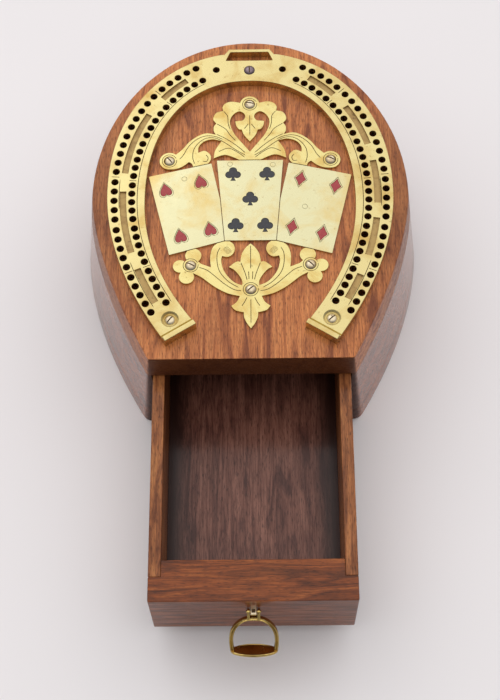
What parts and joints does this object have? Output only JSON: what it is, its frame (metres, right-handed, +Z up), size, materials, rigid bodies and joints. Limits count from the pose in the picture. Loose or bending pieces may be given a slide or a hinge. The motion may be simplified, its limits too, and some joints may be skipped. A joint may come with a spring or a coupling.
{
  "type": "cribbage board",
  "caption": "Hoof-shaped wooden cribbage board with a brass horseshoe drilled for pegs, brass playing cards under pierced frets, and a card drawer with a stirrup pull.",
  "frame": {"origin": "middle of the underside of the case's base board", "axes": "+Z up; +Y from the drawer front towards the toe of the horseshoe; +X to the right when the drawer faces the viewer"},
  "size_m": [0.212, 0.3881, 0.0972],
  "materials": {
    "top_wood": "waxed, open grain",
    "case_wood": "dark stained, waxed",
    "drawer_wood": "waxed, worn edges",
    "dark_wood": "dark stained, dull",
    "brass": "polished, lightly worn",
    "steel": "polished, worn",
    "red_enamel": "satin enamel",
    "black_enamel": "satin enamel"
  },
  "bodies": {
    "case": {"base_board": "case_wood", "side_block_left": "case_wood", "side_block_right": "case_wood", "back_block": "case_wood", "top_board": "top_wood", "horseshoe": "brass", "crest_fret": "brass", "foot_fret": "brass", "hearts_card": "brass", "clubs_card": "brass", "diamonds_card": "brass", "heart_inlay_1": "red_enamel", "heart_inlay_2": "red_enamel", "heart_inlay_3": "red_enamel", "heart_inlay_4": "red_enamel", "club_inlay_1": "black_enamel", "club_inlay_2": "black_enamel", "club_inlay_3": "black_enamel", "club_inlay_4": "black_enamel", "club_inlay_5": "black_enamel", "diamond_inlay_1": "red_enamel", "diamond_inlay_2": "red_enamel", "diamond_inlay_3": "red_enamel", "diamond_inlay_4": "red_enamel", "card_pin_1": "brass", "card_pin_2": "brass", "card_pin_3": "brass", "card_pin_4": "brass", "toe_screw": "steel", "heel_screw_left": "brass", "heel_screw_right": "brass", "crest_screw_middle": "steel", "crest_screw_left": "steel", "crest_screw_right": "steel", "foot_screw_middle": "steel", "foot_screw_left": "steel", "foot_screw_right": "steel"},
    "drawer": {"drawer_front": "drawer_wood", "drawer_side_left": "drawer_wood", "drawer_side_right": "drawer_wood", "drawer_back": "dark_wood", "drawer_bottom": "dark_wood", "pull_post": "brass", "pull_pin": "brass"},
    "stirrup": {"stirrup": "brass"}
  },
  "joints": [
    {"name": "drawer_slide", "type": "slide", "parent": "case", "child": "drawer", "axis": [0, -1, 0], "range_m": [-0.134, 0.012]},
    {"name": "stirrup_hinge", "type": "hinge", "parent": "drawer", "child": "stirrup", "pos_m": [0, -0.25155, 0.0535], "axis": [-1, 0, 0], "range_deg": [-30, 134]}
  ]
}
